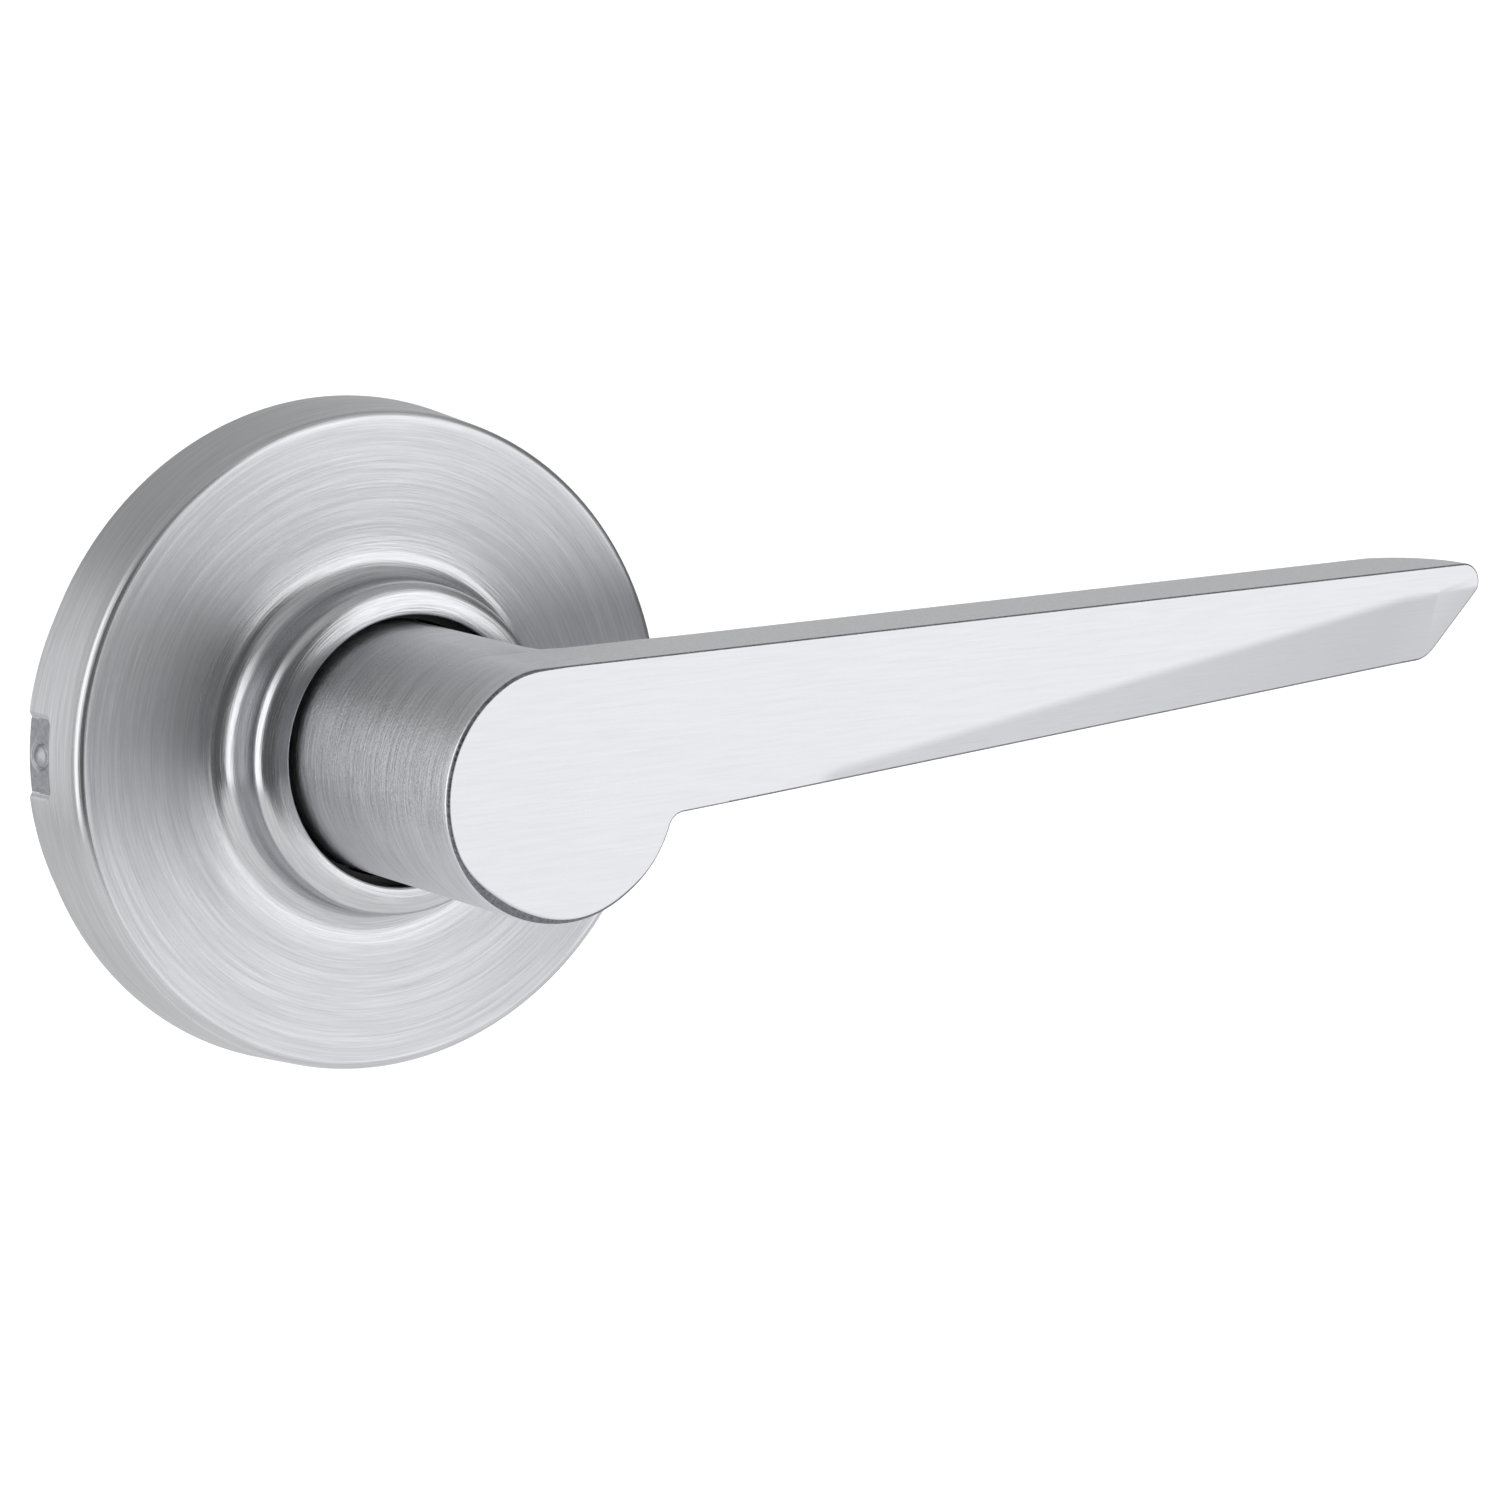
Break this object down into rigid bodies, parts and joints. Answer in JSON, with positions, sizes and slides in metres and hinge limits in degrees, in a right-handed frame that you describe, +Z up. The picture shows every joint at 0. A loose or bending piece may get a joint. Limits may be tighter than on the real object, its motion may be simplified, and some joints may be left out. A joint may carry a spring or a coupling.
{
  "type": "door lever handle",
  "caption": "Lever handle for a door: round rose with a raised boss, and a round-necked straight lever with a faceted lower edge that springs back to level.",
  "frame": {"origin": "centre of the rose's back on the spindle axis, in the plane of the door face", "axes": "+X along the lever to its tip, +Y along the spindle into the door, +Z up"},
  "size_m": [0.1441, 0.0844, 0.067],
  "materials": {
    "satin_chrome": "satin chrome plate, turned on the rose and brushed on the lever",
    "zinc_plated_steel": "bright zinc plate",
    "die_cast_zinc": "as cast",
    "spring_steel": "drawn wire",
    "nylon": "moulded, black"
  },
  "bodies": {
    "rose_side": {"rose_cover": "satin_chrome", "mounting_plate": "zinc_plated_steel", "spring_housing": "die_cast_zinc", "housing_cover": "zinc_plated_steel", "return_spring": "spring_steel", "neck_bush": "nylon", "post_left": "zinc_plated_steel", "post_right": "zinc_plated_steel", "housing_screw_1": "zinc_plated_steel", "housing_screw_2": "zinc_plated_steel", "housing_screw_3": "zinc_plated_steel", "housing_screw_4": "zinc_plated_steel"},
    "handle": {"lever": "satin_chrome", "drive_hub": "zinc_plated_steel", "spindle": "zinc_plated_steel", "spindle_pin": "spring_steel", "retaining_ring": "spring_steel", "thrust_washer": "nylon", "wave_washer": "spring_steel", "catch_spring": "spring_steel"},
    "catch": {"lever_catch": "zinc_plated_steel"}
  },
  "joints": [
    {"name": "lever_turn", "type": "hinge", "parent": "rose_side", "child": "handle", "pos_m": [0, 0, 0], "axis": [0, 1, 0], "range_deg": [-45, 45], "stiffness_Nm_per_rad": 1.2, "springref_deg": -2.86, "deforming": ["return_spring"]},
    {"name": "catch_slide", "type": "slide", "parent": "handle", "child": "catch", "axis": [0, 0, 1], "range_m": [0, 0.0023], "stiffness_N_per_m": 600, "springref_m": -0.003, "deforming": ["catch_spring"]}
  ]
}
